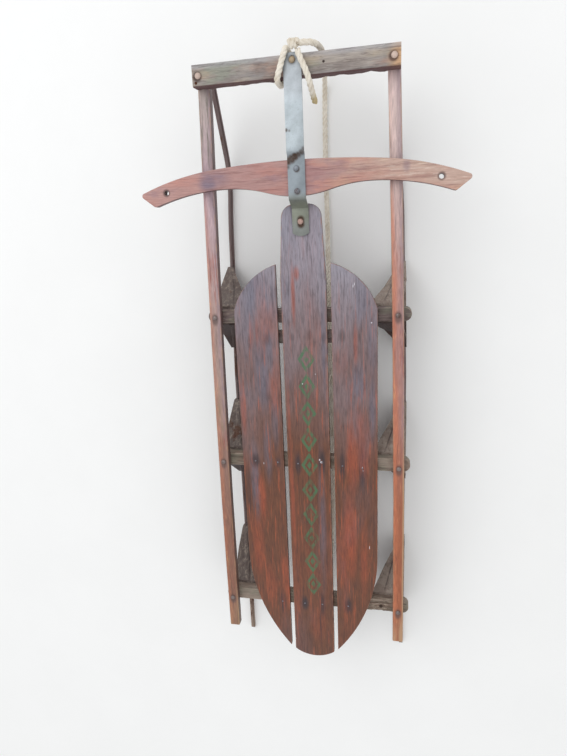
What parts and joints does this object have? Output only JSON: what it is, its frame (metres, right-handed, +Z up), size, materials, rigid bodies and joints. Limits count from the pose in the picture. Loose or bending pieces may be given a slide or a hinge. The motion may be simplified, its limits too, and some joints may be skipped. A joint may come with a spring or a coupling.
{
  "type": "snow sled",
  "caption": "Steerable wooden snow sled on steel runners, with a slatted deck, a wooden steering bar and a pull rope tied round its front bar.",
  "frame": {"origin": "on the floor under the middle of the sled's length and width, the rope left out", "axes": "+Y towards the front of the sled, +X to the right of a rider who faces forwards, +Z up"},
  "size_m": [0.47, 1.0517, 0.1778],
  "materials": {
    "varnished_wood": "worn varnish, dark red-brown",
    "bench_wood": "bare and weathered",
    "rail_wood": "worn varnish, orange-brown",
    "bar_wood": "worn varnish, red-brown",
    "bumper_wood": "weathered grey-brown",
    "runner_steel": "old dark red paint with rust",
    "knee_steel": "worn paint and rust",
    "strap_steel": "dull galvanised, stained",
    "bolt_steel": "dull and rusty",
    "rope": "braided cotton, soiled"
  },
  "bodies": {
    "frame": {"slat_middle": "varnished_wood", "slat_left": "varnished_wood", "slat_right": "varnished_wood", "bench_front": "bench_wood", "bench_middle": "bench_wood", "bench_rear": "bench_wood", "batten": "bench_wood", "rail_left": "rail_wood", "rail_right": "rail_wood", "runner_left": "runner_steel", "runner_right": "runner_steel", "knee_front_left": "knee_steel", "knee_front_right": "knee_steel", "knee_middle_left": "knee_steel", "knee_middle_right": "knee_steel", "knee_rear_left": "knee_steel", "knee_rear_right": "knee_steel", "rail_bolt_front_left": "bolt_steel", "rail_bolt_front_right": "bolt_steel", "rail_bolt_middle_left": "bolt_steel", "rail_bolt_middle_right": "bolt_steel", "rail_bolt_rear_left": "bolt_steel", "rail_bolt_rear_right": "bolt_steel", "pivot_bolt": "bolt_steel"},
    "steering": {"steering_bar": "bar_wood", "steering_strap": "strap_steel", "strap_screw_front": "bolt_steel", "strap_screw_rear": "bolt_steel"},
    "bumper": {"bumper": "bumper_wood", "bumper_bolt_left": "bolt_steel", "bumper_bolt_right": "bolt_steel", "strap_bolt": "bolt_steel", "rope_hitch": "rope", "rope_knot": "rope", "rope_end": "rope", "rope": "rope"}
  },
  "joints": [
    {"name": "steering_pivot", "type": "hinge", "parent": "frame", "child": "steering", "pos_m": [0, 0.30125, 0.1368], "axis": [0, 0, 1], "range_deg": [-8, 8]},
    {"name": "front_swing", "type": "slide", "parent": "frame", "child": "bumper", "axis": [1, 0, 0], "range_m": [-0.029, 0.029], "deforming": ["rail_left", "rail_right", "runner_left", "runner_right"]}
  ],
  "couplings": [
    {"joint": "front_swing", "follows": "steering_pivot", "m_per_rad": -0.2055}
  ]
}
